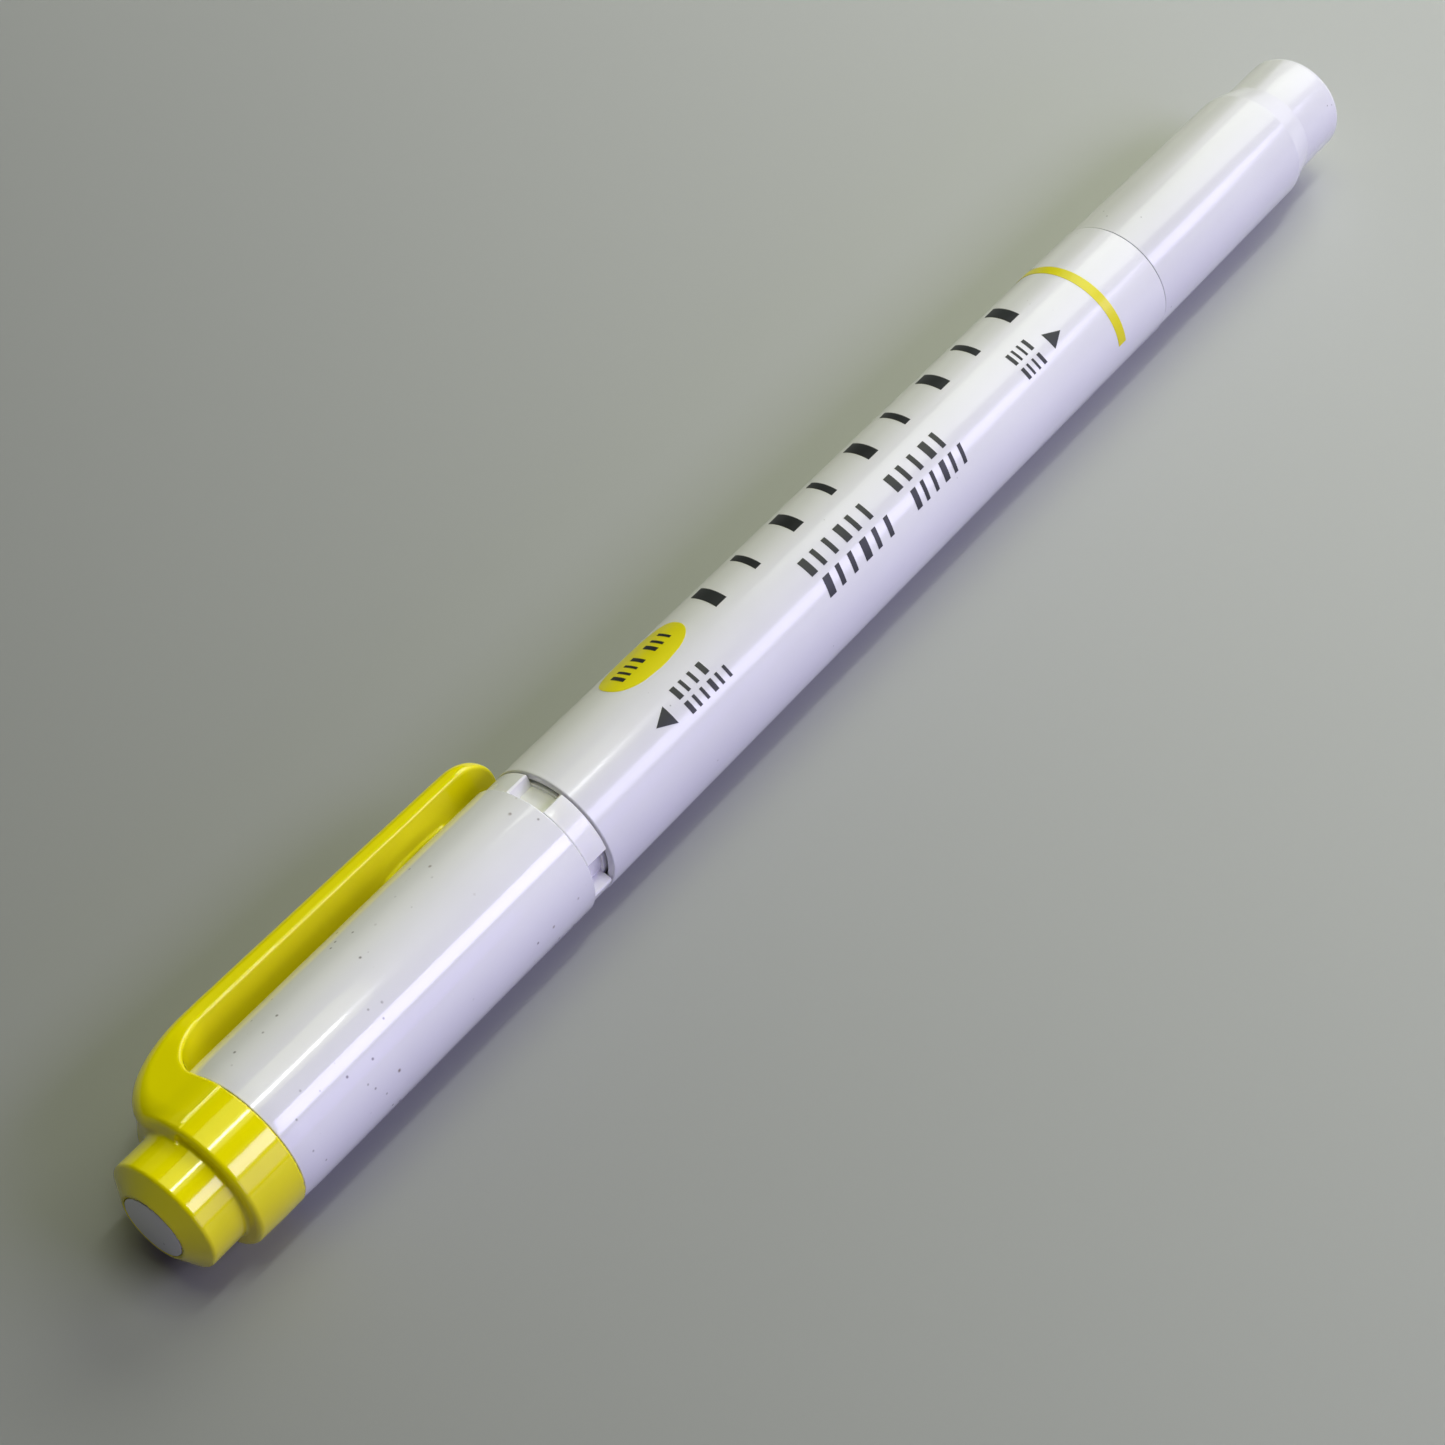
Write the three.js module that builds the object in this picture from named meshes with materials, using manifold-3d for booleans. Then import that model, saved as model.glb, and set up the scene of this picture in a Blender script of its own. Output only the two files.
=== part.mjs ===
// A double-ended highlighter pen: a capped broad chisel end with a pocket clip, and a capped fine end.
// Millimetres. +X runs along the pen from the broad end to the fine end, +Z is up, and the pen's axis is
// the X axis. The middle of the broad end's face is the origin. The pen lies on a surface at the lowest Z,
// rolled until the clip's lower edge touches that surface too.
import * as THREE from 'three';
import { mergeVertices } from 'three/addons/utils/BufferGeometryUtils.js';
import Module from 'manifold-3d';

const wasm = await Module();
wasm.setup();

// Driving dimensions
const PEN_LENGTH = 142.4;
const CAP_RADIUS = 5.77;
const FACETS = 32;
const GAP = 0.15; // left between two faces that meet
const RUNNING = 0.12; // radial clearance of a plug in its bore

// Stations along the pen
const BUTTON_EDGE = 1.05; // end of the crown button's bevel
const RING_START = 4.3;
const SHELL_START = 8.63; // seam between the clip ring and the white shell
const SHELL_END = 39.05; // rim of the broad cap
const BARREL_START = 41.37;
const BARREL_END = 113.5; // seam between the barrel and the fine cap
const FINE_CONE_START = 134.8;
const FINE_CONE_END = 137.2;

// Broad cap
const DISC_RADIUS = 2.8; // the shell's boss, seen as a white disc in the end face
const NECK_RADIUS = 3.95; // the shell's neck under the crown
const NECK_START = 2;
const CROWN_RADIUS = 4.6;
const SHELL_BORE = 5;
const SHELL_FLOOR = 10.2; // inside of the shell's closed end
const LINER_BORE = 4.05;
const LINER_WALL = 0.83;
const LINER_END = 25;

// Broad end
const SHANK_RADIUS = 4.72;
const COLLAR_RADIUS = 5.64;
const NOTCH_COUNT = 4;
const NOTCH_ANGLE = 34; // degrees
const NOTCH_AT = 6.5; // degrees from straight up towards the clip, middle of one notch
const HOLDER_RADIUS = 3.9;
const HOLDER_START = 21.7;
const HOLDER_END = 25.4;
const SHANK_START = 27.6;
const PLUG_END = 49.5; // how far the section reaches into the barrel
const NIB_TIP = 16.2;
const NIB_WIDTH = 5;
const NIB_THICKNESS = 3.4;
const NIB_END = 30;

// Barrel and reservoir
const BARREL_RADIUS = 5.62;
const BARREL_FINE_RADIUS = 5.39; // the barrel tapers towards the fine end
const BARREL_BORE = 5;
const BARREL_FINE_BORE = 4.75;
const RESERVOIR_BORE = 4.15; // inside both sections
const FILM_RADIUS = 4.03;
const FILM_WALL = 0.12;
const CORE_RADIUS = 3.8;
const RESERVOIR_START = 30.3;
const RESERVOIR_END = 112.2;

// Fine end
const FINE_PLUG_START = 104;
const FINE_SHANK_RADIUS = 4.45;
const FINE_SHANK_END = 123;
const FERRULE_RADIUS = 2.75;
const FERRULE_START = 124.8;
const FERRULE_END = 128.2;
const FINE_NIB_RADIUS = 1;
const FINE_NIB_TIP = 131.8;
const FINE_CAP_RADIUS = 5.33;
const FINE_CAP_CONE_RADIUS = 5.2; // the fine cap tapers a little up to its cone
const FINE_TIP_RADIUS = 4.55;
const FINE_CAP_BORE = 4.6;
const FINE_CAP_FLOOR = 141.2;
const FINE_LINER_BORE = 2.95;
const FINE_LINER_WALL = 0.6;
const FINE_LINER_START = 125.2;
const FINE_STEP = 124; // where the cap's bore steps down to the liner's size

// Clip: X along the pen, Z away from the axis, Y across the clip, before it is turned to its place
const CLIP_ANGLE = 101; // degrees from straight up, towards +Y
const CLIP_OUTER = 8.4; // the outer face's distance from the axis, at the root
const CLIP_OUTER_TIP = 7.95;
const CLIP_INNER = 6.62;
const CLIP_HALF_WIDTH = 4.35;
const CLIP_TIP_HALF_WIDTH = 4.2;
const CLIP_TIP = 42.8;
const CLIP_ROOT = 10.4; // where the arm leaves the root, at the gap's closed end
const CLIP_TIP_ROUND = 3.7;
const ROOT_BULGE_AT = 12; // where the root's curved back reaches the outer face
const ROOT_BULGE_BASE = 3; // that curve's centre, from the axis
const PAD_CENTRE = 33.7; // the raised pad that grips the pocket's cloth
const PAD_LENGTH = 8;
const PAD_WIDTH = 4.4;
const PAD_HEIGHT = 0.55;

const degrees = Math.PI / 180;

// Materials
function plastic(colour, roughness) {
  return new THREE.MeshStandardMaterial({ color: colour, roughness, metalness: 0 });
}
const white = () => plastic(0xebebf0, 0.3);
const yellow = () => plastic(0xe1d800, 0.28);
const cream = () => plastic(0xe6e4dc, 0.45);
const felt = () => plastic(0xd9d81f, 0.9);
const fibre = () => plastic(0xcfce3a, 0.95);
const clear = () => plastic(0xdfe6e8, 0.2);

const pen = new THREE.Group();

function add(name, geometry, material) {
  const mesh = new THREE.Mesh(geometry, material);
  mesh.name = name;
  pen.add(mesh);
  return mesh;
}

// A body turned about the X axis. The profile is a list of [x, radius], going from the -X end along the
// outside to the +X end, then back through the bore if there is one.
function turned(profile, facets = FACETS) {
  const points = profile.map(([x, radius]) => new THREE.Vector2(radius, x));
  const onAxis = profile[0][1] === 0;
  if (!onAxis) points.push(points[0].clone());
  return new THREE.LatheGeometry(points, facets).rotateZ(-Math.PI / 2);
}

// Booleans
function solid(geometry) {
  const bare = geometry.clone();
  bare.deleteAttribute('normal');
  bare.deleteAttribute('uv');
  const merged = mergeVertices(bare, 1e-4);
  const corners = [];
  for (let i = 0; i < merged.index.count; i += 3) {
    const [a, b, c] = [0, 1, 2].map((k) => merged.index.getX(i + k));
    if (a !== b && b !== c && c !== a) corners.push(a, b, c);
  }
  return new wasm.Manifold(new wasm.Mesh({
    numProp: 3,
    vertProperties: new Float32Array(merged.attributes.position.array),
    triVerts: new Uint32Array(corners),
  }));
}

function geometryOf(body) {
  const mesh = body.getMesh();
  const geometry = new THREE.BufferGeometry();
  geometry.setAttribute('position', new THREE.BufferAttribute(mesh.vertProperties, 3));
  geometry.setIndex(new THREE.BufferAttribute(mesh.triVerts, 1));
  const flat = geometry.toNonIndexed();
  flat.computeVertexNormals();
  return flat;
}

// An outline in X and Z, made thick across Y by twice the half width.
function acrossY(outline, halfWidth) {
  const shape = new THREE.Shape(outline.map(([x, z]) => new THREE.Vector2(x, z)));
  const geometry = new THREE.ExtrudeGeometry(shape, { depth: 2 * halfWidth, bevelEnabled: false });
  return geometry.translate(0, 0, -halfWidth).rotateX(Math.PI / 2);
}

// A plan outline in X and Y, given by its half widths, made tall along Z.
function alongZ(halfOutline, low, high) {
  const mirrored = halfOutline.map(([x, y]) => [x, -y]).reverse();
  const corners = [...halfOutline, ...mirrored].map(([x, y]) => new THREE.Vector2(x, y));
  const geometry = new THREE.ExtrudeGeometry(new THREE.Shape(corners), {
    depth: high - low,
    bevelEnabled: false,
  });
  return geometry.translate(0, 0, low);
}

// Points on a quarter of an ellipse, from its +X or -X end (side = 1 or -1) up to its top.
function quarter(centreX, centreZ, halfX, halfZ, side, steps) {
  return Array.from({ length: steps + 1 }, (_, i) => {
    const angle = (i / steps) * (Math.PI / 2);
    return [centreX + side * halfX * Math.cos(angle), centreZ + halfZ * Math.sin(angle)];
  });
}

// ---- Broad cap ----

function capShell() {
  const rimRadius = CAP_RADIUS + 0.02;
  return turned([
    [0, 0], [0, DISC_RADIUS - 0.15], [0.15, DISC_RADIUS], [NECK_START, DISC_RADIUS],
    [NECK_START, NECK_RADIUS], [SHELL_START, NECK_RADIUS], [SHELL_START, CAP_RADIUS],
    [SHELL_END - 0.2, rimRadius], [SHELL_END, rimRadius - 0.2],
    [SHELL_END, SHELL_BORE], [SHELL_FLOOR, SHELL_BORE], [SHELL_FLOOR, 0],
  ]);
}

function capLiner() {
  const outside = LINER_BORE + LINER_WALL;
  const start = SHELL_FLOOR + GAP;
  return turned([
    [start, 0], [start, outside - 0.5], [start + 0.5, outside], [LINER_END, outside],
    [LINER_END, LINER_BORE], [start + LINER_WALL, LINER_BORE], [start + LINER_WALL, 0],
  ]);
}

function crownButton() {
  const hole = DISC_RADIUS + RUNNING;
  const end = RING_START - GAP;
  return turned([
    [GAP, hole], [BUTTON_EDGE, CROWN_RADIUS - 0.1], [BUTTON_EDGE + 0.15, CROWN_RADIUS], [end, CROWN_RADIUS],
    [end, NECK_RADIUS + RUNNING], [NECK_START - GAP, NECK_RADIUS + RUNNING], [NECK_START - GAP, hole],
  ]);
}

// The ring's section is a circle drawn out into the clip's root by two flanks that meet it smoothly.
function clipRing() {
  const end = SHELL_START - GAP;
  const ring = solid(turned([
    [RING_START, CAP_RADIUS - 0.6], [RING_START + 0.2, CAP_RADIUS - 0.22], [RING_START + 0.7, CAP_RADIUS],
    [end, CAP_RADIUS], [end, NECK_RADIUS + RUNNING], [RING_START, NECK_RADIUS + RUNNING],
  ]));
  const back = quarter(
    ROOT_BULGE_AT, ROOT_BULGE_BASE, ROOT_BULGE_AT - RING_START - 0.1, CLIP_OUTER - ROOT_BULGE_BASE, -1, 10,
  ).filter(([x]) => x < CLIP_ROOT - 0.3);
  const root = solid(acrossY([
    [CLIP_ROOT, 0], [CLIP_ROOT, CLIP_OUTER], ...back.reverse(), [RING_START + 0.1, 0],
  ], CAP_RADIUS));
  const corner = Math.hypot(CLIP_HALF_WIDTH, CLIP_OUTER);
  const flank = Math.atan2(CLIP_OUTER, CLIP_HALF_WIDTH) - Math.acos(CAP_RADIUS / corner);
  const touch = [CAP_RADIUS * Math.cos(flank), CAP_RADIUS * Math.sin(flank)];
  const top = [CLIP_HALF_WIDTH - Math.tan(flank), CLIP_OUTER + 1];
  const section = new THREE.Shape([
    [-touch[0], 0], [-touch[0], touch[1]], [-top[0], top[1]], [top[0], top[1]], touch, [touch[0], 0],
  ].map(([y, z]) => new THREE.Vector2(y, z)));
  const flanks = new THREE.ExtrudeGeometry(section, { depth: CLIP_ROOT, bevelEnabled: false });
  flanks.rotateX(Math.PI / 2).rotateZ(Math.PI / 2);
  const neckHole = solid(turned([
    [0, 0], [0, NECK_RADIUS + RUNNING], [end, NECK_RADIUS + RUNNING], [end, CAP_RADIUS + GAP],
    [CLIP_ROOT + 1, CAP_RADIUS + GAP], [CLIP_ROOT + 1, 0],
  ]));
  return geometryOf(ring.add(root.intersect(solid(flanks))).subtract(neckHole));
}

function clipArm() {
  const start = CLIP_ROOT + 2 * GAP;
  const tipStart = CLIP_TIP - 4;
  const side = solid(acrossY([
    [start, CLIP_INNER], [start, CLIP_OUTER], [tipStart, CLIP_OUTER_TIP],
    [CLIP_TIP - 1.3, CLIP_OUTER_TIP - 0.25], [CLIP_TIP, CLIP_INNER + 0.4], [CLIP_TIP, CLIP_INNER],
  ], CLIP_HALF_WIDTH + 1));
  const corner = quarter(
    CLIP_TIP - CLIP_TIP_ROUND, CLIP_TIP_HALF_WIDTH - CLIP_TIP_ROUND, CLIP_TIP_ROUND, CLIP_TIP_ROUND, 1, 6,
  ).reverse();
  const plan = solid(alongZ([[start, CLIP_HALF_WIDTH], ...corner], 0, CLIP_OUTER + 1));
  const pad = new THREE.SphereGeometry(1, 14, 10);
  pad.scale(PAD_LENGTH / 2, PAD_WIDTH / 2, PAD_HEIGHT).translate(PAD_CENTRE, 0, CLIP_INNER + 0.05);
  return geometryOf(side.intersect(plan).add(solid(pad)));
}

// ---- Barrel and the broad end ----

function barrelTube() {
  const step = PLUG_END + 1;
  return turned([
    [BARREL_START, BARREL_BORE], [BARREL_START, BARREL_RADIUS - 0.1], [BARREL_START + 0.1, BARREL_RADIUS],
    [BARREL_END, BARREL_FINE_RADIUS], [BARREL_END, BARREL_FINE_BORE], [step, BARREL_FINE_BORE],
    [step, BARREL_BORE],
  ]);
}

function broadSection() {
  const collarStart = SHELL_END + GAP;
  const collarEnd = BARREL_START - GAP;
  const chamfer = 0.2;
  const body = solid(turned([
    [HOLDER_START, 0], [HOLDER_START, HOLDER_RADIUS - 0.3], [HOLDER_START + 0.3, HOLDER_RADIUS],
    [HOLDER_END, HOLDER_RADIUS], [SHANK_START, SHANK_RADIUS], [collarStart, SHANK_RADIUS],
    [collarStart, COLLAR_RADIUS - chamfer], [collarStart + chamfer, COLLAR_RADIUS],
    [collarEnd - chamfer, COLLAR_RADIUS], [collarEnd, COLLAR_RADIUS - chamfer], [collarEnd, SHANK_RADIUS],
    [PLUG_END - 0.5, SHANK_RADIUS], [PLUG_END, SHANK_RADIUS - 0.3], [PLUG_END, RESERVOIR_BORE],
    [NIB_END - 1, RESERVOIR_BORE], [NIB_END - 1, 0],
  ]));
  const slotLength = NIB_END - HOLDER_START;
  const slot = new THREE.BoxGeometry(slotLength, NIB_WIDTH + 0.2, NIB_THICKNESS + 0.2);
  slot.translate(HOLDER_START + slotLength / 2 - 1, 0, 0);
  const width = 2 * (SHANK_RADIUS + 0.4) * Math.sin((NOTCH_ANGLE / 2) * degrees);
  let cut = body.subtract(solid(slot));
  for (let i = 0; i < NOTCH_COUNT; i += 1) {
    const notch = new THREE.BoxGeometry(collarEnd - collarStart + 0.02, width, 3);
    notch.translate((collarStart + collarEnd) / 2, 0, SHANK_RADIUS + 1.5);
    notch.rotateX(-(NOTCH_AT + (i * 360) / NOTCH_COUNT) * degrees);
    cut = cut.subtract(solid(notch));
  }
  return geometryOf(cut);
}

// The chisel nib: a flat bar of felt with a slanted tip.
function broadNib() {
  const low = NIB_TIP;
  return acrossY([
    [low, -NIB_THICKNESS / 2 + 0.4], [low + 3.6, NIB_THICKNESS / 2], [NIB_END, NIB_THICKNESS / 2],
    [NIB_END, -NIB_THICKNESS / 2], [low + 0.4, -NIB_THICKNESS / 2],
  ], NIB_WIDTH / 2);
}

function reservoirCore() {
  return turned([
    [RESERVOIR_START, 0], [RESERVOIR_START, CORE_RADIUS], [RESERVOIR_END, CORE_RADIUS], [RESERVOIR_END, 0],
  ], FACETS / 2);
}

function reservoirFilm() {
  return turned([
    [RESERVOIR_START, FILM_RADIUS - FILM_WALL], [RESERVOIR_START, FILM_RADIUS],
    [RESERVOIR_END, FILM_RADIUS], [RESERVOIR_END, FILM_RADIUS - FILM_WALL],
  ]);
}

// ---- Fine end ----

function fineSection() {
  const plug = BARREL_FINE_BORE - RUNNING;
  const nibHole = FINE_NIB_RADIUS + RUNNING;
  return turned([
    [FINE_PLUG_START, RESERVOIR_BORE], [FINE_PLUG_START, plug - 0.15], [FINE_PLUG_START + 0.5, plug],
    [BARREL_END, plug], [BARREL_END, FINE_SHANK_RADIUS], [FINE_SHANK_END, FINE_SHANK_RADIUS],
    [FERRULE_START, FERRULE_RADIUS], [FERRULE_END, FERRULE_RADIUS], [FERRULE_END + 1, FINE_NIB_RADIUS + 0.5],
    [FERRULE_END + 1, nibHole], [RESERVOIR_END + 1, nibHole], [RESERVOIR_END + 1, RESERVOIR_BORE],
  ]);
}

function fineNib() {
  return turned([
    [RESERVOIR_END + 0.2, 0], [RESERVOIR_END + 0.2, FINE_NIB_RADIUS], [FINE_NIB_TIP - 1.2, FINE_NIB_RADIUS],
    [FINE_NIB_TIP - 0.3, 0.6], [FINE_NIB_TIP, 0.3], [FINE_NIB_TIP, 0],
  ], FACETS / 2);
}

function fineLiner() {
  const outside = FINE_LINER_BORE + FINE_LINER_WALL;
  const end = FINE_CAP_FLOOR - GAP;
  return turned([
    [FINE_LINER_START, FINE_LINER_BORE], [FINE_LINER_START, outside], [end, outside], [end, 0],
    [end - FINE_LINER_WALL, 0], [end - FINE_LINER_WALL, FINE_LINER_BORE],
  ]);
}

function fineCapShell() {
  const start = BARREL_END + GAP;
  const linerSeat = FINE_LINER_BORE + FINE_LINER_WALL + RUNNING;
  const round = 0.6;
  return turned([
    [start, FINE_CAP_BORE], [start, FINE_CAP_RADIUS - 0.05], [start + 0.05, FINE_CAP_RADIUS],
    [FINE_CONE_START, FINE_CAP_CONE_RADIUS], [FINE_CONE_END, FINE_TIP_RADIUS],
    [PEN_LENGTH - round, FINE_TIP_RADIUS], [PEN_LENGTH - round / 3, FINE_TIP_RADIUS - round / 3],
    [PEN_LENGTH, FINE_TIP_RADIUS - round], [PEN_LENGTH, 0], [FINE_CAP_FLOOR, 0],
    [FINE_CAP_FLOOR, linerSeat], [FINE_STEP, linerSeat], [FINE_STEP, FINE_CAP_BORE],
  ]);
}

add('broad_cap_shell', capShell(), white());
add('broad_cap_liner', capLiner(), cream());
add('crown_button', crownButton(), yellow());
add('clip_ring', clipRing(), yellow()).rotation.x = -CLIP_ANGLE * degrees;
add('clip_arm', clipArm(), yellow()).rotation.x = -CLIP_ANGLE * degrees;
add('barrel_tube', barrelTube(), white());
add('broad_section', broadSection(), cream());
add('broad_nib', broadNib(), felt());
add('reservoir_core', reservoirCore(), fibre());
add('reservoir_film', reservoirFilm(), clear());
add('fine_section', fineSection(), cream());
add('fine_nib', fineNib(), felt());
add('fine_cap_liner', fineLiner(), cream());
add('fine_cap_shell', fineCapShell(), white());

export default pen;
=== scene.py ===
import math

import bpy
import numpy as np
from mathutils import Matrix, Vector


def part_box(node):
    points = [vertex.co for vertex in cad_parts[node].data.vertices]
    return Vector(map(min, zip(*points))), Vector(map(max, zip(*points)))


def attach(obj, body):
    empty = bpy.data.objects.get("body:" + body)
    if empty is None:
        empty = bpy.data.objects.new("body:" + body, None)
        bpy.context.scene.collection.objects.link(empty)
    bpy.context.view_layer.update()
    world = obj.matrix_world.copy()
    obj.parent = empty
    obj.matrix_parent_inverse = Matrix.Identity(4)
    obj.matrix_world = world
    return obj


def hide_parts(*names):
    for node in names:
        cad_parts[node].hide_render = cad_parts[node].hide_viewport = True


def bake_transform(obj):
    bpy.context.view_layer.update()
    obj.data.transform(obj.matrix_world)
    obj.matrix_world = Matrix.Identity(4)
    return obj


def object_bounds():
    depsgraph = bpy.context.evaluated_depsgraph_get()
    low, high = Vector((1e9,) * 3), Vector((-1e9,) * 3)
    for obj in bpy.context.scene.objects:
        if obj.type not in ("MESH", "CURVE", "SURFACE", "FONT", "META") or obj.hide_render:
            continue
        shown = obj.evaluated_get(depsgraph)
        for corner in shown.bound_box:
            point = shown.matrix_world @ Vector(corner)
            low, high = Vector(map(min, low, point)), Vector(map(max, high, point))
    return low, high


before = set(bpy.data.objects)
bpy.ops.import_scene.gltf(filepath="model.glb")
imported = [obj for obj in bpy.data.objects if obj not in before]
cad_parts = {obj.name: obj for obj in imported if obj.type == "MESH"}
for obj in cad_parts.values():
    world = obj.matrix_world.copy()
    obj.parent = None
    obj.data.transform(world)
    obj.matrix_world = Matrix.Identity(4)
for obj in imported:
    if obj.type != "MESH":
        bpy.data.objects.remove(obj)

CAD_BOUNDS = [list(corner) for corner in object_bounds()]
MM = 0.001

# ---- Places, from the frame ----

SHELL_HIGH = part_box("broad_cap_shell")[1]
BARREL_LOW, BARREL_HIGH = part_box("barrel_tube")
BUTTON_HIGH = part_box("crown_button")[1]
ARM_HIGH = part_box("clip_arm")[1]
SECTION_LOW, SECTION_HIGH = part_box("broad_section")
FINE_CAP_LOW, FINE_CAP_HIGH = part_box("fine_cap_shell")
FINE_SECTION_LOW, FINE_SECTION_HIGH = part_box("fine_section")
FINE_NIB_LOW, FINE_NIB_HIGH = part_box("fine_nib")
NIB_LOW, NIB_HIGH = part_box("broad_nib")
FLOOR = CAD_BOUNDS[0][2]

CLIP_ANGLE = math.radians(101)  # from straight up towards +Y, as the clip's joint axis says
SEGMENTS = 144
PEN_MIDDLE = Vector((0.07, 0, 0))  # metres, where the lights are aimed

# Millimetres
SEAM = 8.63  # from the broad end to the seam between the ring and the white shell
CAP_RADIUS = 5.77  # at the ring
BOSS_RADIUS = 2.55  # of the white disc in the end face
NECK_RADIUS = 3.95  # of the shell's neck inside the crown
BARREL_BROAD_RADIUS, BARREL_FINE_RADIUS = 5.62, 5.39
PRINT_LIFT, PRINT_ROOT = 0.025, -0.02  # a printed mark's face and underside, from the barrel's surface

PLASTIC_IOR = 1.49
COAT_ROUGHNESS = 0.04


def mm(metres):
    return metres / MM


# ---- Mesh tools ----

def finish_mesh(name, points, faces, sharp=32, normals=None):
    """A smooth-shaded object from points in millimetres, with edges sharper than `sharp` degrees kept."""
    mesh = bpy.data.meshes.new(name)
    mesh.from_pydata([tuple(c * MM for c in p) for p in points], [], faces)
    mesh.validate()
    mesh.shade_smooth()
    if normals is None:
        mesh.set_sharp_from_angle(angle=math.radians(sharp))
    else:
        mesh.normals_split_custom_set_from_vertices(normals)
    piece = bpy.data.objects.new(name, mesh)
    bpy.context.scene.collection.objects.link(piece)
    return piece


def rounded(profile):
    """A closed loop of [x, radius, fillet] corners as [x, radius] points, with each fillet an arc."""
    out = []
    count = len(profile)
    for i, (x, r, fillet) in enumerate(profile):
        here = np.array([x, r])
        if fillet <= 0:
            out.append((x, r))
            continue
        before = np.array(profile[i - 1][:2]) - here
        after = np.array(profile[(i + 1) % count][:2]) - here
        before = before / np.linalg.norm(before)
        after = after / np.linalg.norm(after)
        half = math.acos(np.clip(before @ after, -1, 1)) / 2
        reach = fillet / math.tan(half)
        centre = here + (before + after) / np.linalg.norm(before + after) * fillet / math.sin(half)
        start = here + before * reach - centre
        end = here + after * reach - centre
        sweep = math.atan2(start[0] * end[1] - start[1] * end[0], start @ end)
        steps = max(2, math.ceil(abs(sweep) / math.radians(18)))
        for k in range(steps + 1):
            turn = sweep * k / steps
            c, s = math.cos(turn), math.sin(turn)
            out.append((centre[0] + c * start[0] - s * start[1], centre[1] + s * start[0] + c * start[1]))
    return out


def turned(name, profile, angles=None, radius_at=None, sharp=32):
    """A closed body turned about the X axis. Profile points with radius 0 are poles."""
    outline = rounded(profile)
    if angles is None:
        angles = [2 * math.pi * i / SEGMENTS for i in range(SEGMENTS)]
    points, rings = [], []
    for x, r in outline:
        if r < 1e-6:
            rings.append([len(points)] * len(angles))
            points.append((x, 0, 0))
            continue
        ring = []
        for angle in angles:
            radius = radius_at(x, r, angle) if radius_at else r
            ring.append(len(points))
            points.append((x, radius * math.sin(angle), radius * math.cos(angle)))
        rings.append(ring)
    faces = []
    for a, b in zip(rings, rings[1:] + rings[:1]):
        for i in range(len(angles)):
            j = (i + 1) % len(angles)
            corners = list(dict.fromkeys([a[i], b[i], b[j], a[j]]))
            if len(corners) > 2:
                faces.append(corners)
    return finish_mesh(name, points, faces, sharp)


def surface_of(field, low, high, step):
    """Points and quads of the surface where field(x, y, z) is 0, found by surface nets on a grid."""
    axes = [np.arange(a - step, b + 2 * step, step) for a, b in zip(low, high)]
    grid = np.meshgrid(*axes, indexing="ij")
    values = field(*grid)
    inside = values < 0
    origin = np.array([axis[0] for axis in axes])
    shape = np.array(values.shape) - 1
    total = np.zeros((*shape, 3))
    crossings = np.zeros(shape)
    for axis in range(3):
        others = [k for k in range(3) if k != axis]
        for first in (0, 1):
            for second in (0, 1):
                near = [slice(0, n) for n in shape]
                near[others[0]] = slice(first, shape[others[0]] + first)
                near[others[1]] = slice(second, shape[others[1]] + second)
                far = list(near)
                far[axis] = slice(1, shape[axis] + 1)
                a, b = values[tuple(near)], values[tuple(far)]
                crossing = (a < 0) != (b < 0)
                share = np.where(crossing, a / np.where(a == b, 1, a - b), 0)
                place = [0, 0, 0]
                place[others[0]], place[others[1]] = first, second
                for k in range(3):
                    total[..., k] += np.where(crossing, share if k == axis else place[k], 0)
                crossings += crossing
    used = crossings > 0
    index = np.full(shape, -1)
    index[used] = np.arange(used.sum())
    cells = np.argwhere(used)
    points = origin + step * (cells + total[used] / crossings[used][:, None])
    faces = []
    for axis in range(3):
        b, c = (axis + 1) % 3, (axis + 2) % 3
        near = [slice(1, n) for n in shape]
        near[axis] = slice(0, shape[axis])
        far = list(near)
        far[axis] = slice(1, shape[axis] + 1)
        start, end = inside[tuple(near)], inside[tuple(far)]
        for flipped in (False, True):
            where = np.argwhere(start & ~end) if not flipped else np.argwhere(~start & end)
            cell = where.copy()
            cell[:, b] += 1
            cell[:, c] += 1
            corners = []
            for db, dc in ((0, 0), (1, 0), (1, 1), (0, 1)):
                at = cell.copy()
                at[:, b] -= db
                at[:, c] -= dc
                corners.append(index[tuple(at.T)])
            quads = np.stack(corners, axis=1)
            faces.append(quads[:, ::-1] if flipped else quads)
    delta = step * 0.05
    for _ in range(5):
        value = field(*points.T)
        slope = np.stack([
            field(*(points + delta * np.eye(3)[k]).T) - field(*(points - delta * np.eye(3)[k]).T)
            for k in range(3)
        ], axis=1) / (2 * delta)
        size = np.maximum((slope ** 2).sum(axis=1), 0.25)
        move = -(value / size)[:, None] * slope
        reach = np.linalg.norm(move, axis=1, keepdims=True)
        points = points + move * np.minimum(1, 0.5 * step / np.maximum(reach, 1e-9))
    normals = slope / np.maximum(np.linalg.norm(slope, axis=1, keepdims=True), 1e-9)
    return points, np.concatenate(faces).tolist(), normals


def cut_round(a, b, radius):
    """Where both a and b hold, with the edge between them rounded."""
    u, v = np.maximum(a + radius, 0), np.maximum(b + radius, 0)
    return np.minimum(-radius, np.maximum(a, b)) + np.hypot(u, v)


def join_round(a, b, radius):
    """Where a or b holds, with the corner between them filled."""
    u, v = np.maximum(radius - a, 0), np.maximum(radius - b, 0)
    return np.maximum(radius, np.minimum(a, b)) - np.hypot(u, v)


def join_soft(a, b, reach):
    """Where a or b holds, blended where they run into each other at a shallow angle."""
    near = np.maximum(reach - np.abs(a - b), 0) / reach
    return np.minimum(a, b) - near ** 2 * reach / 4


# ---- Materials ----

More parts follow.
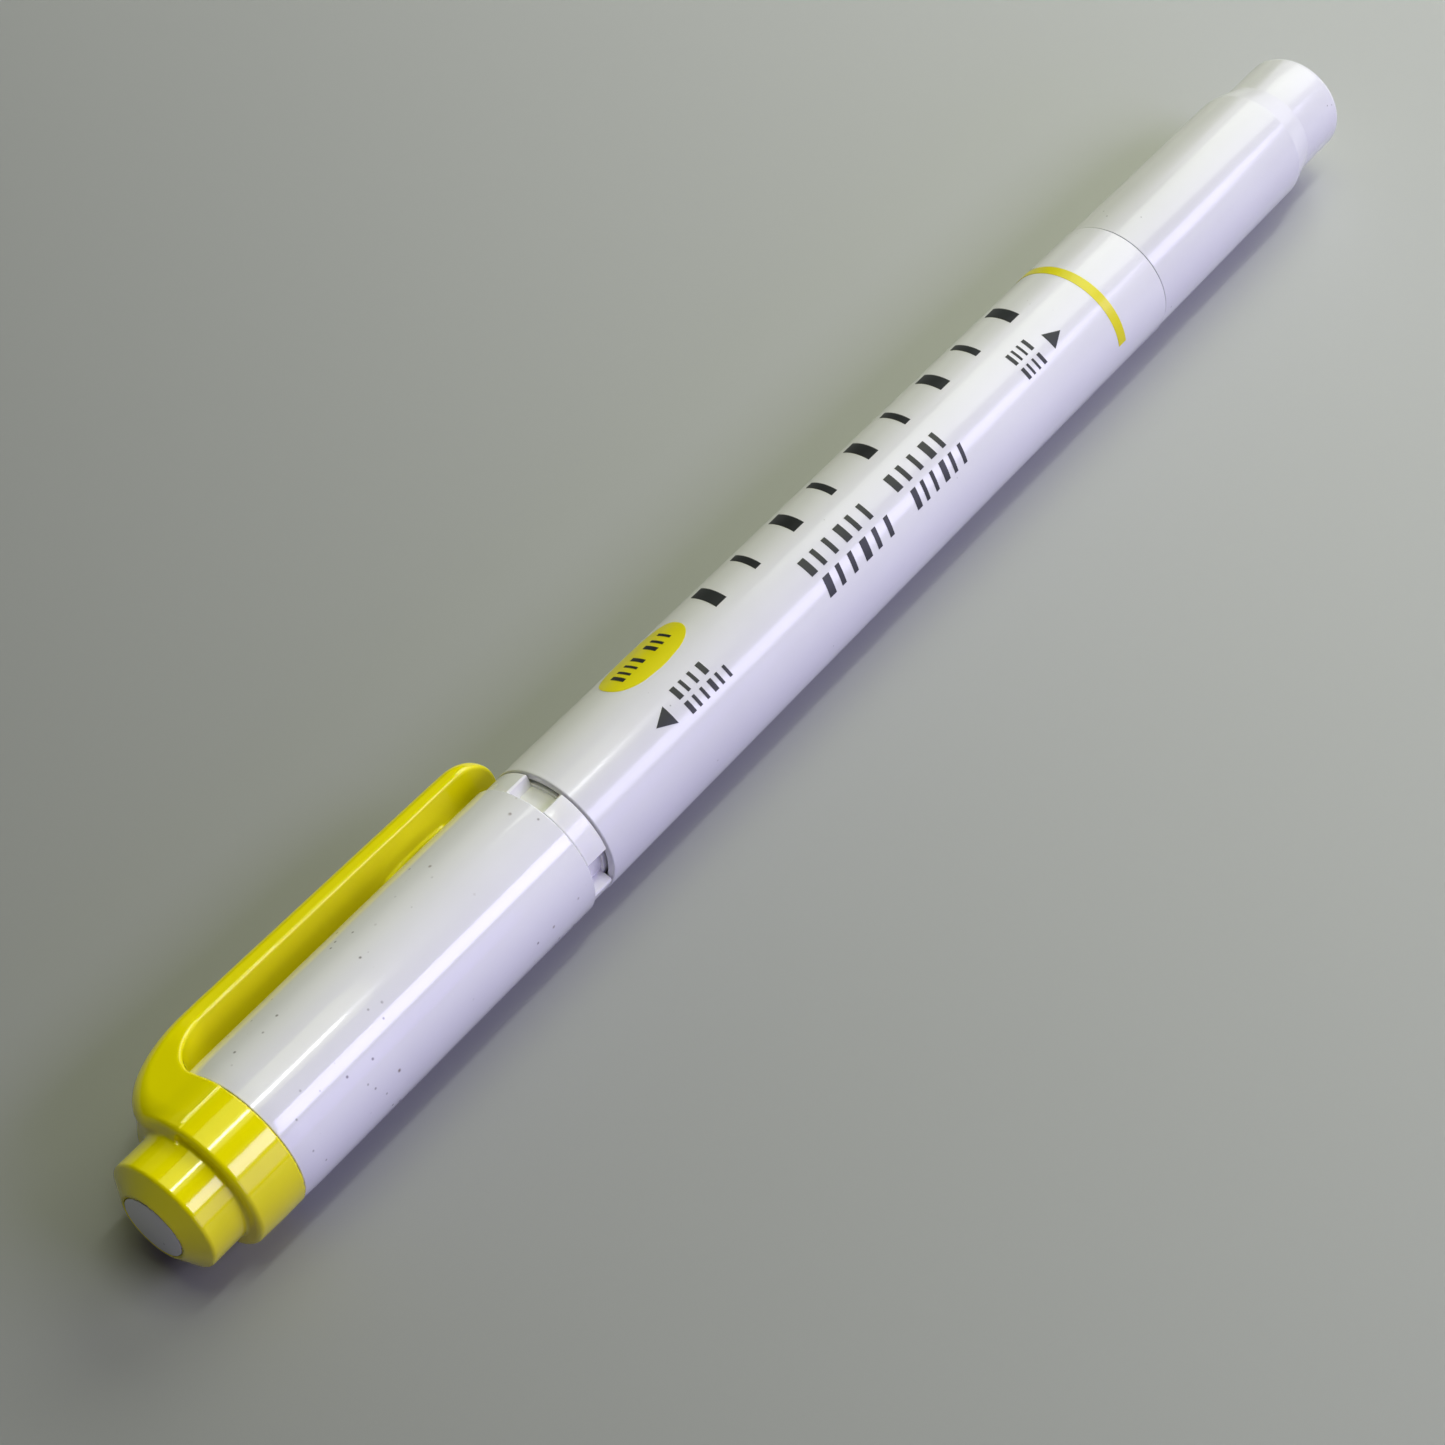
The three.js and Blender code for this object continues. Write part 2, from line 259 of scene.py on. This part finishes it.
def plastic(name, low, high, roughness, specks=(), bump=0.02, coat=0.3, sheer=0.0, tint=None):
    """Moulded plastic: colour and gloss that drift a little, fine orange peel and, if asked, specks.

    A kind of speck is (cells per metre, size in a cell, how rare it is, colour).
    """
    material = bpy.data.materials.new(name)
    material.use_nodes = True
    nodes, links = material.node_tree.nodes, material.node_tree.links
    shader = nodes["Principled BSDF"]
    shader.inputs["IOR"].default_value = PLASTIC_IOR
    if tint:
        shader.inputs["Specular Tint"].default_value = (*tint, 1)
    shader.inputs["Coat Weight"].default_value = coat
    shader.inputs["Coat Roughness"].default_value = COAT_ROUGHNESS
    if sheer:
        shader.inputs["Subsurface Weight"].default_value = sheer
        shader.inputs["Subsurface Radius"].default_value = (0.002, 0.0018, 0.0012)
    place = nodes.new("ShaderNodeTexCoord")

    def noise(scale, detail):
        node = nodes.new("ShaderNodeTexNoise")
        node.inputs["Scale"].default_value = scale
        node.inputs["Detail"].default_value = detail
        links.new(place.outputs["Object"], node.inputs["Vector"])
        return node.outputs["Fac"]

    def ramp(value, stops):
        node = nodes.new("ShaderNodeValToRGB")
        elements = node.color_ramp.elements
        elements[0].position, elements[0].color = stops[0][0], (*stops[0][1], 1)
        elements[1].position, elements[1].color = stops[1][0], (*stops[1][1], 1)
        links.new(value, node.inputs["Fac"])
        return node.outputs["Color"]

    colour = ramp(noise(90, 3), [(0.3, low), (0.7, high)])
    for cells_per_metre, size, share, dirt in specks:
        cells = nodes.new("ShaderNodeTexVoronoi")
        cells.inputs["Scale"].default_value = cells_per_metre
        links.new(place.outputs["Object"], cells.inputs["Vector"])
        dots = ramp(
            cells.outputs["Distance"], [(size * 0.35, (1, 1, 1)), (size, (0, 0, 0))],
        )
        some = ramp(
            noise(160, 1), [(share - 0.02, (0, 0, 0)), (share + 0.02, (0.85, 0.85, 0.85))],
        )
        both = nodes.new("ShaderNodeMath")
        both.operation = "MULTIPLY"
        links.new(dots, both.inputs[0])
        links.new(some, both.inputs[1])
        mix = nodes.new("ShaderNodeMixRGB")
        links.new(both.outputs["Value"], mix.inputs["Fac"])
        links.new(colour, mix.inputs["Color1"])
        mix.inputs["Color2"].default_value = (*dirt, 1)
        colour = mix.outputs["Color"]
    links.new(colour, shader.inputs["Base Color"])
    gloss = nodes.new("ShaderNodeMapRange")
    gloss.inputs["From Min"].default_value = 0.35
    gloss.inputs["From Max"].default_value = 0.7
    gloss.inputs["To Min"].default_value = roughness * 0.92
    gloss.inputs["To Max"].default_value = roughness * 1.12
    links.new(noise(300, 1), gloss.inputs["Value"])
    links.new(gloss.outputs["Result"], shader.inputs["Roughness"])
    relief = nodes.new("ShaderNodeBump")
    relief.inputs["Strength"].default_value = bump
    relief.inputs["Distance"].default_value = 0.0001
    links.new(noise(2600, 2), relief.inputs["Height"])
    links.new(relief.outputs["Normal"], shader.inputs["Normal"])
    return material


CAP_SPECKS = (
    (900, 0.13, 0.55, (0.22, 0.2, 0.19)),
    (420, 0.08, 0.48, (0.2, 0.14, 0.1)),
)
BARREL_SPECKS = ((700, 0.07, 0.62, (0.35, 0.34, 0.32)),)
WHITES = (0.83, 0.83, 0.83), (0.87, 0.87, 0.87)
CAP_WHITE = plastic("speckled_white_plastic", *WHITES, 0.15, CAP_SPECKS, coat=0.6)
WHITE = plastic("gloss_white_plastic", *WHITES, 0.2, BARREL_SPECKS, coat=0.15)
YELLOW = plastic(
    "lemon_yellow_plastic", (0.93, 0.83, 0.0), (0.97, 0.87, 0.0), 0.12,
    coat=0.6, tint=(1.0, 0.98, 0.75),
)
CREAM = plastic("natural_plastic", (0.86, 0.86, 0.83), (0.92, 0.92, 0.89), 0.25, sheer=0.15)
INK_DARK = plastic("dark_print", (0.012, 0.014, 0.014), (0.025, 0.03, 0.03), 0.45, coat=0.0)
INK_YELLOW = plastic("yellow_print", (0.85, 0.76, 0.0), (0.9, 0.81, 0.004), 0.4, coat=0.1)
FELT = plastic("nib_felt", (0.62, 0.6, 0.02), (0.74, 0.72, 0.05), 0.9, bump=0.6, coat=0.0)
FIBRE = plastic("ink_fibre", (0.55, 0.55, 0.04), (0.66, 0.65, 0.08), 0.95, bump=0.6, coat=0.0)
FILM = plastic("clear_film", (0.7, 0.72, 0.72), (0.78, 0.8, 0.8), 0.15)


def dress(piece, material, body, slot, *nodes):
    piece.data.materials.clear()
    piece.data.materials.append(material)
    if nodes:
        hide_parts(*nodes)
    if body:
        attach(piece, body)
    return piece


# ---- Broad cap ----

def broad_cap_shell():
    """The white shell: the disc in the end face is its boss, and a neck runs through the crown."""
    end, outer = mm(SHELL_HIGH.x), mm(SHELL_HIGH.z)
    return turned("cap_shell", [
        (0.0, 0, 0), (0.0, BOSS_RADIUS, 0.06), (2.0, BOSS_RADIUS, 0), (2.0, NECK_RADIUS, 0),
        (SEAM, NECK_RADIUS, 0),
        (SEAM, outer - 0.09, 0.07), (SEAM + 1.4, outer - 0.025, 12), (end, outer, 0.14),
        (end, 5.0, 0.15), (10.2, 5.0, 0.4), (10.2, 0, 0),
    ])


def crown_clip():
    """Button, ring and clip in one moulding: t runs across the clip and r away from the pen's axis."""
    button_radius, button_edge = mm(BUTTON_HIGH.z), 1.05
    ring_start, ring_end = 4.25, SEAM - 0.07
    tip = mm(ARM_HIGH.x)
    outer, outer_tip, inner = 8.52, 8.2, 6.62
    half_width, tip_narrowing = 4.35, 0.15
    bulge_x, bulge_r = 12.0, 3.0  # where the root's rounded back is centred
    slot_x, slot_r = 13.0, 3.2  # where the slot's rounded end is centred
    lean = math.radians(10.2)  # the flanks leave the ring as tangents
    droop_depth, droop_length = 0.2, 5.5  # how the back falls away at the tip
    root_rounding, bar_rounding = 1.25, 1.0  # of the edges between back and flanks
    slot_rounding, slot_power = 0.28, 1.7
    pad_x, pad_half_length, pad_half_width = 33.6, 3.6, 1.95
    dome_size = (4.6, 3.4, 0.4)  # half its length, width and height
    clearance = 0.03

    def button(x, rho):
        bevel = 0.5 * (rho - button_radius) - 0.866 * (x - button_edge)
        body = cut_round(rho - button_radius, bevel, 0.16)
        return np.maximum(cut_round(body, -x, 0.05), x - ring_start - 1)

    def ring(x, rho):
        taper = 0.03 * np.clip(6.6 - x, 0, 3)
        body = cut_round(rho - CAP_RADIUS + taper, ring_start - x, 0.42)
        return cut_round(body, x - ring_end, 0.06)

    def arm(x, t, r):
        along = np.clip((x - bulge_x) / (tip - bulge_x), 0, 1)
        droop = droop_depth * np.clip((x - tip + droop_length) / droop_length, 0, 1) ** 2
        back = np.hypot(
            np.minimum(x - bulge_x, 0) / (bulge_x - ring_start + 0.25),
            np.maximum(r - bulge_r, 0) / (outer - bulge_r),
        )
        back = (back - 1) * (outer - bulge_r) + (outer - outer_tip) * along + droop
        upright = np.clip((x - 9.5) / 4, 0, 1)
        tilt = lean * (1 - upright * upright * (3 - 2 * upright))
        side = (np.abs(t) - half_width) * np.cos(tilt) + (r - outer) * np.sin(tilt) + tip_narrowing * along
        end = cut_round(side, x - tip, 3.7)
        slot = (np.maximum(slot_x - x, 0) / (slot_x - SEAM)) ** slot_power
        slot = slot + (np.maximum(r - slot_r, 0) / (inner - slot_r)) ** slot_power
        slot = (slot ** (1 / slot_power) - 1) * (inner - slot_r)
        body = cut_round(back, end, root_rounding - (root_rounding - bar_rounding) * upright)
        return cut_round(body, -slot, slot_rounding)

    def pad(x, t, r):
        length, width, height = dome_size
        dome = np.sqrt(((x - pad_x) / length) ** 2 + (t / width) ** 2 + ((r - inner) / height) ** 2)
        dome = (dome - 1) * height
        half = pad_half_width - 0.5 * ((x - pad_x) / pad_half_length) ** 2
        boss = cut_round(np.abs(t) - half, np.abs(x - pad_x) - pad_half_length, 0.8)
        boss = cut_round(boss, inner - 0.5 - r, 0.2)
        boss = np.maximum(boss, r - inner - 0.3)
        return join_round(dome, boss, 0.12)

    def field(x, t, r):
        rho = np.hypot(t, r)
        crown = join_round(button(x, rho), ring(x, rho), 0.22)
        clip = np.minimum(arm(x, t, r), 9)
        clip = join_round(clip, pad(x, t, r), 0.15)
        clip = np.maximum(clip, -r)
        body = join_soft(crown, clip, 0.3)
        bore = np.minimum(rho - BOSS_RADIUS - clearance, np.maximum(rho - NECK_RADIUS - 0.1, 1.85 - x))
        bore = np.minimum(bore, np.maximum(rho - 5.84, ring_end + 0.02 - x))
        return np.maximum(body, -bore)

    points, faces, normals = surface_of(field, (0, -5.9, -5.9), (tip, 5.9, outer), 0.17)
    turn = np.array([
        [1, 0, 0],
        [0, math.cos(CLIP_ANGLE), -math.sin(CLIP_ANGLE)],
        [0, math.sin(CLIP_ANGLE), math.cos(CLIP_ANGLE)],
    ])
    return finish_mesh("crown_clip", (points @ turn).tolist(), faces, normals=(normals @ turn).tolist())


# ---- Barrel and broad end ----

def barrel():
    start, end = mm(BARREL_LOW.x), mm(BARREL_HIGH.x)
    return turned("barrel", [
        (start, 5.0, 0.05), (start, BARREL_BROAD_RADIUS, 0.12), (end, BARREL_FINE_RADIUS, 0.03),
        (end, 4.75, 0.05), (50.5, 4.75, 0), (50.5, 5.0, 0),
    ])


def notched_section():
    """The broad end's moulding: nib holder, cone, shank and the collar with its four notches."""
    start, end = mm(SECTION_LOW.x), mm(SECTION_HIGH.x)
    collar = (mm(SHELL_HIGH.x) + 0.12, mm(BARREL_LOW.x) - 0.13)
    lug, floor, shank = mm(SECTION_HIGH.z), 4.45, 4.72
    half = math.radians(17)
    first = math.radians(6.5)
    chamfer = 0.12 / lug
    marks = []
    for k in range(4):
        middle = first + k * math.pi / 2
        for side in (-1, 1):
            edge = middle + side * half
            marks += [edge - side * 0.0006, edge, edge + side * chamfer]
    angles = [2 * math.pi * i / SEGMENTS for i in range(SEGMENTS)]
    near = math.radians(1.2)
    angles = [
        a for a in angles
        if all(abs((a - m + math.pi) % (2 * math.pi) - math.pi) > near for m in marks)
    ]
    angles = sorted(angles + [m % (2 * math.pi) for m in marks])

    def radius_at(x, r, angle):
        if r <= shank + 0.01 or not collar[0] - 0.01 < x < collar[1] + 0.01:
            return r
        off = abs((angle - first + math.pi / 4) % (math.pi / 2) - math.pi / 4)
        if off < half - 0.0003:
            return floor
        if off < half + chamfer / 2:
            return min(r, lug - 0.12)
        return r

    return turned("castellated_section", [
        (start, 2.6, 0.1), (start, 3.9, 0.35), (25.4, 3.9, 0.3), (27.6, shank, 0.5), (collar[0], shank, 0),
        (collar[0], lug, 0.1), (collar[1], lug, 0.1), (collar[1], shank, 0), (end, shank, 0.3),
        (end, 4.15, 0), (29.0, 4.15, 0), (29.0, 2.6, 0),
    ], angles, radius_at, sharp=28)


def chisel_nib():
    """A flat felt bar with rounded long edges and a slanted, slightly worn tip."""
    low, high = mm(NIB_LOW.x), mm(NIB_HIGH.x)

    def field(x, y, z):
        bar = cut_round(np.abs(y) - 2.5, np.abs(z) - 1.7, 0.45)
        slant = (z + 1.3 - (x - low) * 0.83) / math.hypot(1, 0.83)
        bar = cut_round(bar, slant, 0.2)
        bar = cut_round(bar, low - x, 0.25)
        return cut_round(bar, x - 23, 0.1)

    points, faces, normals = surface_of(field, (low, -2.6, -1.8), (23, 2.6, 1.8), 0.2)
    return finish_mesh("chisel_nib", points.tolist(), faces, normals=normals.tolist())


# ---- Fine end ----

def fine_cap():
    start, end = mm(FINE_CAP_LOW.x), mm(FINE_CAP_HIGH.x)
    big = mm(FINE_CAP_HIGH.z)
    return turned("fine_cap", [
        (start, 4.6, 0.05), (start, big, 0.03), (134.6, 5.2, 0.8), (137.0, 4.55, 0.8), (end, 4.55, 0.75),
        (end, 0, 0), (141.2, 0, 0), (141.2, 3.67, 0), (124, 3.67, 0), (124, 4.6, 0),
    ])


def fine_section():
    start, end = mm(FINE_SECTION_LOW.x), mm(FINE_SECTION_HIGH.x)
    return turned("fine_grip", [
        (start, 4.15, 0), (start, 4.6, 0.2), (113.5, 4.63, 0), (113.5, 4.45, 0), (123, 4.45, 0.6),
        (124.8, 2.75, 0.4), (128.2, 2.75, 0.2), (end, 1.5, 0.15), (end, 1.12, 0), (113.2, 1.12, 0),
        (113.2, 4.15, 0),
    ])


def fine_nib():
    start, end = mm(FINE_NIB_LOW.x), mm(FINE_NIB_HIGH.x)
    return turned("fine_nib_point", [
        (start, 0, 0), (start, 1.0, 0.1), (end - 1.2, 1.0, 0.3), (end - 0.25, 0.55, 0.2), (end, 0.28, 0.1),
        (end, 0, 0),
    ])


# ---- Printed marks ----

def barrel_radius(x):
    low, high = mm(BARREL_LOW.x), mm(BARREL_HIGH.x)
    return BARREL_BROAD_RADIUS + (BARREL_FINE_RADIUS - BARREL_BROAD_RADIUS) * (x - low) / (high - low)


def print_mark(name, patches, material, lift=PRINT_LIFT):
    """Thin raised print that follows the barrel. A patch is rows of (degrees, lowest x, highest x)."""
    points, faces = [], []
    columns = 6
    width = columns + 1
    for rows in patches:
        first = len(points)
        back = len(rows) * width
        for layer in (lift, PRINT_ROOT):
            for angle, x0, x1 in rows:
                for k in range(width):
                    x = x0 + (x1 - x0) * k / columns
                    radius = barrel_radius(x) + layer
                    a = math.radians(angle)
                    points.append((x, radius * math.sin(a), radius * math.cos(a)))
        last = first + back - width
        for row in range(first, last, width):
            for k in range(columns):
                quad = [row + k, row + k + 1, row + k + width + 1, row + k + width]
                faces.append(quad)
                faces.append([q + back for q in reversed(quad)])
        rim = [first + k for k in range(width)]
        rim += [row + columns for row in range(first + width, last, width)]
        rim += [last + k for k in range(columns, -1, -1)]
        rim += [row for row in range(last - width, first, -width)]
        for a, b in zip(rim, rim[1:] + rim[:1]):
            faces.append([a, a + back, b + back, b])
    piece = finish_mesh(name, points, faces, sharp=30)
    return dress(piece, material, "barrel", "white_shell")


def spread(low, high, count):
    return [low + (high - low) * i / count for i in range(count + 1)]


def arrow(name, tip_x, base_x, middle, half_angle):
    """A solid triangle with its base across the barrel and its point along it."""
    rows = []
    for share in spread(-0.999, 0.999, 16):
        edge = tip_x + (base_x - tip_x) * abs(share)
        rows.append((middle + half_angle * share, min(edge, base_x), max(edge, base_x)))
    return print_mark(name, [rows], INK_DARK)


def lozenge(name, x0, x1, low, high, power, material):
    """A plain rounded patch."""
    rows = []
    for share in spread(-0.999, 0.999, 28):
        half = (x1 - x0) / 2 * (1 - abs(share) ** power) ** (1 / power)
        middle = (x0 + x1) / 2
        rows.append(((low + high) / 2 + (high - low) / 2 * share, middle - half, middle + half))
    return print_mark(name, [rows], material)


def stroke(x0, x1, low, high, steps=6, slant=0.0):
    """The rows of one stroke across the barrel, from angle low to angle high."""
    return [
        (angle, x0 + slant * share, x1 + slant * share)
        for angle, share in zip(spread(low, high, steps), spread(0, 1, steps))
    ]


def strokes(name, words, low, high, slant=0.0, lift=PRINT_LIFT):
    """A line of plain strokes in groups; a word is (start, end, number of strokes), in cap radii."""
    patches = []
    for start, end, count in words:
        pitch = (x_at(end) - x_at(start)) / count
        for k in range(count):
            x = x_at(start) + pitch * k
            patches.append(stroke(x, x + pitch * (0.32 if k % 3 else 0.5), low, high, slant=slant))
    return print_mark(name, patches, INK_DARK, lift)


def x_at(station):
    """Millimetres from the broad end, for a place given in cap radii from the ring's seam."""
    return SEAM + CAP_RADIUS * station


def printed_marks():
    arrow("broad_end_arrow", x_at(7.21), x_at(7.5), -25.8, 8.6)
    arrow("fine_end_arrow", x_at(16.17), x_at(15.89), -25.5, 8.4)
    band = stroke(x_at(16.98), x_at(17.148), -77, 100, steps=60)
    print_mark("fine_end_band", [band], INK_YELLOW)
    lozenge("round_badge", x_at(7.3), x_at(8.76), 6, 52, 2.4, INK_YELLOW)
    strokes("badge_line", ((7.52, 8.05, 4), (8.17, 8.6, 3)), 22, 36, lift=0.045)
    for k in range(9):
        x = x_at(9.2 + k * 0.825)
        tick = stroke(x, x + (0.7 if k % 2 else 1.25), 11, 44, steps=14, slant=0.5)
        print_mark(f"scale_tick_{k}", [tick], INK_DARK)
    strokes("middle_line", ((10.43, 11.95, 6), (12.32, 13.6, 5)), -27, -11)
    strokes("lower_line", ((10.45, 12.05, 6), (12.4, 13.68, 6)), -49, -33, slant=0.45)
    strokes("broad_note_line", ((7.74, 8.43, 4),), -23, -12)
    strokes("broad_note_lower_line", ((7.74, 8.66, 6),), -37.5, -27)
    strokes("fine_note_line", ((15.2, 15.7, 4),), -21, -9)
    strokes("fine_note_lower_line", ((15.2, 15.7, 4),), -37, -26)


# ---- Stage ----

def floor():
    """A floor whose colour is painted a little paler towards the fine end: painted light falling off towards
    the broad end.
    """
    mesh = bpy.data.meshes.new("floor")
    half = 3.0
    corners = [(-half, -half), (half, -half), (half, half), (-half, half)]
    mesh.from_pydata([(x, y, FLOOR - 0.00002) for x, y in corners], [], [(0, 1, 2, 3)])
    piece = bpy.data.objects.new("floor", mesh)
    bpy.context.scene.collection.objects.link(piece)
    material = bpy.data.materials.new("floor_with_painted_falloff")
    material.use_nodes = True
    shader = material.node_tree.nodes["Principled BSDF"]
    shader.inputs["Roughness"].default_value = 0.55
    nodes, links = material.node_tree.nodes, material.node_tree.links
    place = nodes.new("ShaderNodeTexCoord")
    along = nodes.new("ShaderNodeVectorMath")
    along.operation = "DOT_PRODUCT"
    along.inputs[1].default_value = (0.93, -0.36, 0)
    links.new(place.outputs["Object"], along.inputs[0])
    share = nodes.new("ShaderNodeMapRange")
    share.interpolation_type = "SMOOTHSTEP"
    share.inputs["From Min"].default_value = -0.06
    share.inputs["From Max"].default_value = 0.17
    links.new(along.outputs["Value"], share.inputs["Value"])
    # Painted shade: the floor's colour darkens towards the broad end in place of light falling off there.
    mix = nodes.new("ShaderNodeMixRGB")
    mix.inputs["Color1"].default_value = (0.235, 0.242, 0.228, 1)
    mix.inputs["Color2"].default_value = (0.52, 0.535, 0.505, 1)
    links.new(share.outputs["Result"], mix.inputs["Fac"])
    links.new(mix.outputs["Color"], shader.inputs["Base Color"])
    mesh.materials.append(material)


def area_light(name, place, size, power, colour, turn=None):
    """A rectangle of light: facing straight down and turned, or facing the pen if no turn is given."""
    data = bpy.data.lights.new(name, "AREA")
    data.shape = "RECTANGLE"
    data.size, data.size_y = size
    data.energy = power
    data.color = colour
    light = bpy.data.objects.new(name, data)
    light.location = place
    if turn is None:
        light.rotation_euler = (PEN_MIDDLE - Vector(place)).to_track_quat("-Z", "Y").to_euler()
    else:
        light.rotation_euler = (0, 0, turn)
    bpy.context.scene.collection.objects.link(light)


def lights():
    """The panel and the tube along the pen give the long highlights; the rest give even light."""
    area_light("ceiling_panel", (1.4, -1.8, 1.5), (2.2, 1.15), 56, (0.72, 0.68, 1.0), 0)
    area_light("ceiling_tube", (0.27, -0.15, 1.5), (0.75, 0.1), 4.2, (0.97, 1.0, 0.97), 0)
    area_light("ceiling", (0.2, 0.1, 1.5), (1.0, 1.0), 4.7, (0.95, 1.0, 0.45), 0)
    area_light("low_fill", (0.2, -1.4, 0.35), (2.4, 0.6), 2.4, (0.93, 0.93, 0.8))
    area_light("low_blue_fill", (0.0, -2.4, 0.7), (3.0, 1.0), 11, (0.2, 0.08, 1.0))
    area_light("far_wall", (2.6, 0.4, 1.2), (3.0, 1.4), 18, (0.86, 0.84, 1.0))
    area_light("far_lamp", (0.5, 0.05, 0.4), (0.4, 0.3), 1.0, (0.95, 1.0, 0.84))
    area_light("back_fill", (0.35, 1.1, 0.8), (1.2, 0.6), 0.3, (1.0, 0.9, 0.5))
    bpy.context.scene.view_settings.view_transform = "Standard"
    world = bpy.data.worlds.new("studio")
    bpy.context.scene.world = world
    world.use_nodes = True
    back = world.node_tree.nodes["Background"]
    back.inputs["Color"].default_value = (0.9, 0.95, 0.9, 1)
    back.inputs["Strength"].default_value = 0.006


def camera():
    """Looks down on the pen from the broad end's side, as the pen was seen."""
    azimuth, elevation, distance = math.radians(-52.1), math.radians(51.1), 0.2527
    target = Vector((0.0609, -0.000165, -0.00643))
    back = Vector((
        math.sin(azimuth) * math.cos(elevation),
        -math.cos(azimuth) * math.cos(elevation),
        math.sin(elevation),
    ))
    data = bpy.data.cameras.new("camera")
    data.lens = 82.3
    data.sensor_width = 36
    data.clip_start = 0.01
    view = bpy.data.objects.new("camera", data)
    view.location = target + back * distance
    view.rotation_euler = (-back).to_track_quat("-Z", "Y").to_euler()
    bpy.context.scene.collection.objects.link(view)
    bpy.context.scene.camera = view


camera()
dress(broad_cap_shell(), CAP_WHITE, "broad_cap", "white_shell", "broad_cap_shell")
clip = dress(crown_clip(), YELLOW, None, "yellow_moulding", "crown_button", "clip_ring", "clip_arm")
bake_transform(clip)
dress(barrel(), WHITE, "barrel", "white_shell", "barrel_tube")
dress(notched_section(), CREAM, "barrel", "cream_moulding", "broad_section")
dress(chisel_nib(), FELT, "barrel", "nib_felt", "broad_nib")
dress(fine_cap(), WHITE, "fine_cap", "white_shell", "fine_cap_shell")
dress(fine_section(), CREAM, "barrel", "cream_moulding", "fine_section")
dress(fine_nib(), FELT, "barrel", "nib_felt", "fine_nib")
printed_marks()
for node, material in (
    ("broad_cap_liner", CREAM), ("fine_cap_liner", CREAM), ("reservoir_core", FIBRE), ("reservoir_film", FILM),
):
    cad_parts[node].data.materials.clear()
    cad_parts[node].data.materials.append(material)
floor()
lights()
